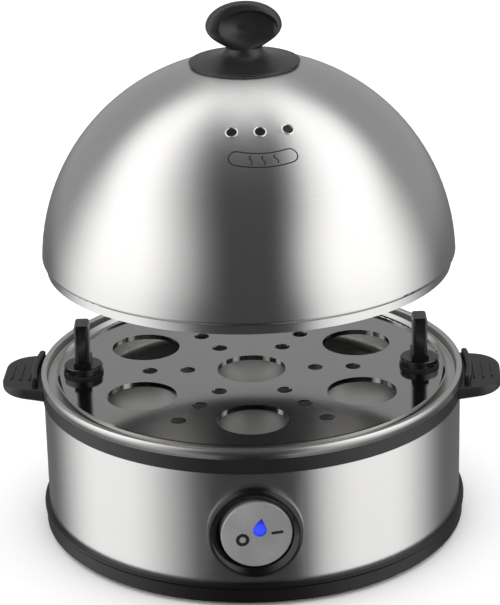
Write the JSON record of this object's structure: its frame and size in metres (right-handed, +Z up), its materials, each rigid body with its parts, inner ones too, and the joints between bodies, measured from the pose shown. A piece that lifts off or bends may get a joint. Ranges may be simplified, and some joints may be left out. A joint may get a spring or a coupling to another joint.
{
  "type": "egg cooker",
  "caption": "Round steel electric egg cooker with a domed lid held above a lift-out egg tray, side handles and a round rocker switch.",
  "frame": {"origin": "on the floor at the centre of the four feet, which is also the bottom centre of the box", "axes": "+Z up, the switch at the front faces -Y, the side handles point along +X and -X"},
  "size_m": [0.2104, 0.1844, 0.2243],
  "materials": {
    "black_plastic": "black satin polypropylene",
    "ring_plastic": "deep black plastic",
    "wall_steel": "brushed stainless steel sheet",
    "zinc_screw": "zinc-plated steel",
    "pan_steel": "bright stainless steel, lightly brushed rim",
    "silicone_grey": "grey silicone",
    "cast_aluminium": "cast aluminium",
    "heater_sheath": "grey aluminium sheath",
    "phenolic": "dark phenolic moulding",
    "shield_steel": "galvanised sheet steel",
    "fuse_case": "tinned metal case",
    "sleeve_glassfibre": "white glass-fibre sleeving",
    "brass_parts": "plain brass",
    "block_plastic": "off-white polyamide",
    "rubber_black": "black rubber",
    "bezel_plastic": "black semi-gloss plastic",
    "lamp_glass": "clear blue lamp",
    "lead_brown": "brown silicone insulation",
    "lead_blue": "blue silicone insulation",
    "lead_green": "green and yellow insulation",
    "tray_steel": "polished stainless steel",
    "post_plastic": "black semi-gloss plastic",
    "lid_steel": "satin stainless steel, finely brushed round the axis",
    "knob_plastic": "black satin phenolic",
    "rocker_plastic": "grey satin plastic",
    "mark_ink": "dark grey inlay",
    "blue_lens": "translucent blue lens, lit"
  },
  "bodies": {
    "base": {"bottom_cover": "black_plastic", "base_ring": "ring_plastic", "outer_sleeve": "wall_steel", "upper_collar": "black_plastic", "base_screws": "zinc_screw", "right_handle": "black_plastic", "left_handle": "black_plastic", "handle_screws": "zinc_screw", "water_pan": "pan_steel", "pan_seal": "silicone_grey", "heating_plate": "cast_aluminium", "heater_tube": "heater_sheath", "thermostat": "phenolic", "thermostat_bracket": "shield_steel", "bracket_screws": "zinc_screw", "thermal_fuse": "fuse_case", "fuse_sleeve": "sleeve_glassfibre", "pan_studs": "zinc_screw", "stud_nuts": "zinc_screw", "shield_spacers": "shield_steel", "heat_shield": "shield_steel", "earth_tag": "brass_parts", "terminal_block": "block_plastic", "block_screws": "brass_parts", "cord_gland": "rubber_black", "cord_clamp": "black_plastic", "clamp_screws": "zinc_screw", "switch_bezel": "bezel_plastic", "switch_housing": "bezel_plastic", "switch_terminals": "brass_parts", "indicator_lamp": "lamp_glass", "live_lead": "lead_brown", "switched_lead": "lead_brown", "heater_lead": "lead_brown", "neutral_lead": "lead_blue", "fuse_lead": "lead_blue", "earth_lead": "lead_green", "lamp_lead": "lead_blue", "foot_1": "rubber_black", "foot_2": "rubber_black", "foot_3": "rubber_black", "foot_4": "rubber_black"},
    "tray": {"egg_tray": "tray_steel", "right_tray_post": "post_plastic", "left_tray_post": "post_plastic", "right_post_gasket": "rubber_black", "left_post_gasket": "rubber_black", "post_screws": "zinc_screw"},
    "lid": {"lid_dome": "lid_steel", "lid_knob": "knob_plastic", "knob_gasket": "silicone_grey", "knob_washer": "zinc_screw", "knob_screw": "zinc_screw"},
    "rocker": {"rocker_cap": "rocker_plastic", "rocker_marks": "mark_ink", "drop_lens": "blue_lens"}
  },
  "joints": [
    {"name": "lid_lift", "type": "slide", "parent": "base", "child": "lid", "axis": [0, 0, 1], "range_m": [-0.0502, 0.05]},
    {"name": "tray_lift", "type": "slide", "parent": "base", "child": "tray", "axis": [0, 0, 1], "range_m": [0, 0.012]},
    {"name": "rocker_tilt", "type": "hinge", "parent": "base", "child": "rocker", "pos_m": [0, -0.085, 0.033], "axis": [0, 0, 1], "range_deg": [-12, 0]}
  ]
}
